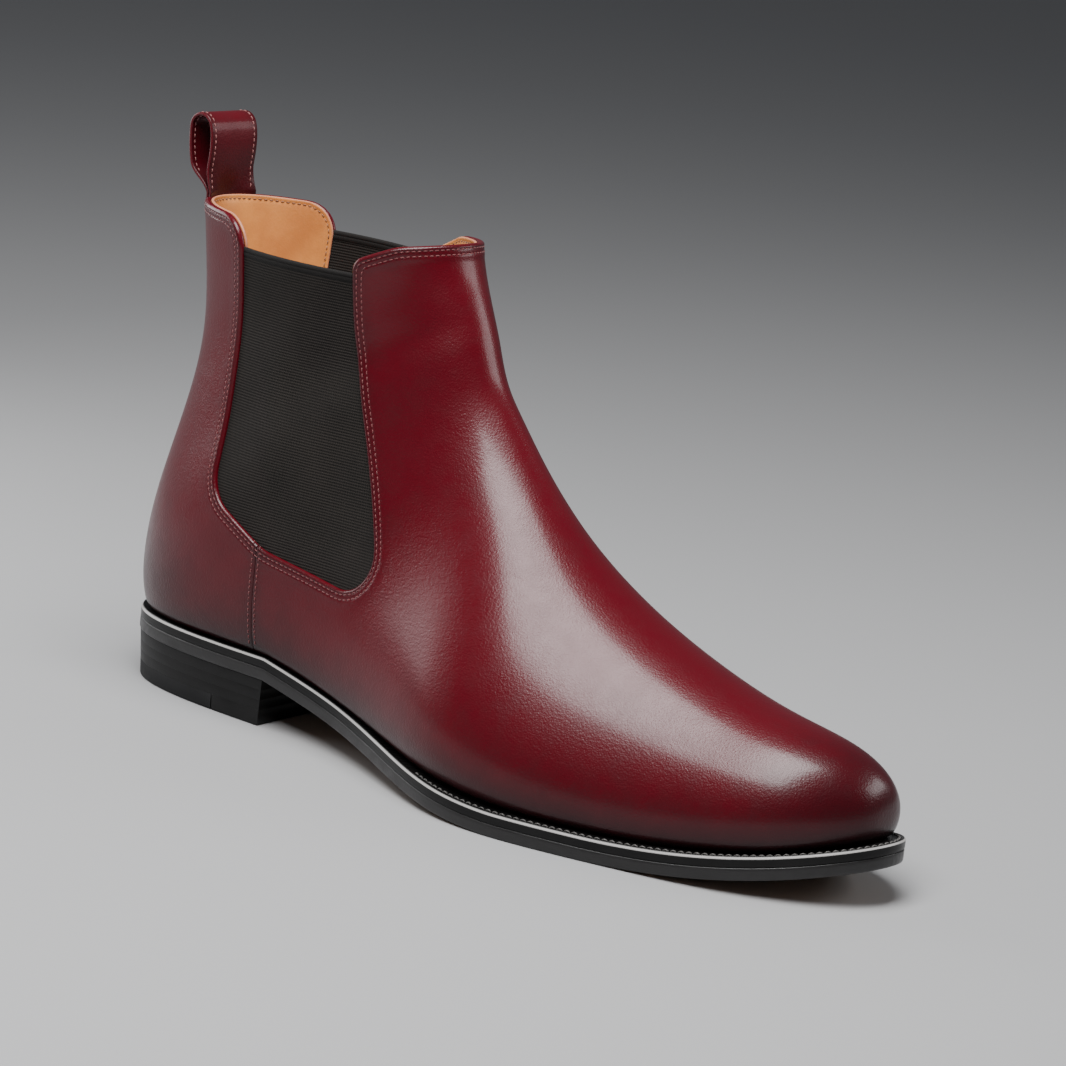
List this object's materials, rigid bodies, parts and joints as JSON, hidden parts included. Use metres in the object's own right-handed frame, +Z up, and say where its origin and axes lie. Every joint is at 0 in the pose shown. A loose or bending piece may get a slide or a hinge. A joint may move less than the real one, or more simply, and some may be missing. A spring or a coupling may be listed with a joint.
{
  "type": "chelsea boot",
  "caption": "Ankle boot with elastic side panels, a pull tab at the back that folds, a stitched welt, a curved sole and a stacked heel with a rubber tip.",
  "frame": {"origin": "on the ground, under the middle of the boot's length and width", "axes": "+X from heel to toe, +Y to the inner side of the foot, +Z up"},
  "size_m": [0.3316, 0.1038, 0.2081],
  "materials": {
    "burgundy_leather": "polished, burnished darker at the edges",
    "elastic": "ribbed woven elastic",
    "elastic_edge": "tight woven fold",
    "lining_leather": "smooth, undyed tan",
    "sock_leather": "smooth tan",
    "cotton_cloth": "plain weave",
    "stiffener": "pressed fibre",
    "sole_leather": "vegetable tanned, matt",
    "canvas": "woven",
    "cork": "granulated cork",
    "spring_steel": "rolled",
    "black_leather": "waxed edge",
    "thread": "waxed linen",
    "sole_edge_leather": "inked and waxed",
    "heel_leather": "inked and waxed",
    "heel_rubber": "moulded, satin",
    "brass": "bright"
  },
  "bodies": {
    "boot": {"vamp": "burgundy_leather", "quarter": "burgundy_leather", "pull_tab_tail": "burgundy_leather", "lateral_gore": "elastic", "medial_gore": "elastic", "lateral_gore_binding": "elastic_edge", "medial_gore_binding": "elastic_edge", "vamp_lining": "lining_leather", "quarter_lining": "lining_leather", "heel_sock": "sock_leather", "vamp_interlining": "cotton_cloth", "quarter_interlining": "cotton_cloth", "toe_puff": "stiffener", "heel_counter": "stiffener", "insole": "sole_leather", "insole_rib": "canvas", "cork_filler": "cork", "shank": "spring_steel", "heel_seat": "sole_leather", "welt": "black_leather", "welt_stitches": "thread", "heel_rand": "black_leather", "outsole": "sole_edge_leather", "heel_lift_upper": "heel_leather", "heel_lift_middle": "heel_leather", "heel_lift_lower": "heel_leather", "top_piece": "heel_leather", "rubber_tip": "heel_rubber", "heel_nails": "brass"},
    "tab": {"pull_tab": "burgundy_leather"}
  },
  "joints": [
    {"name": "pull_tab_fold", "type": "hinge", "parent": "boot", "child": "tab", "pos_m": [-0.15285, 0.00541, 0.18015], "axis": [0, 1, 0], "range_deg": [-70, 85], "stiffness_Nm_per_rad": 0.02}
  ]
}
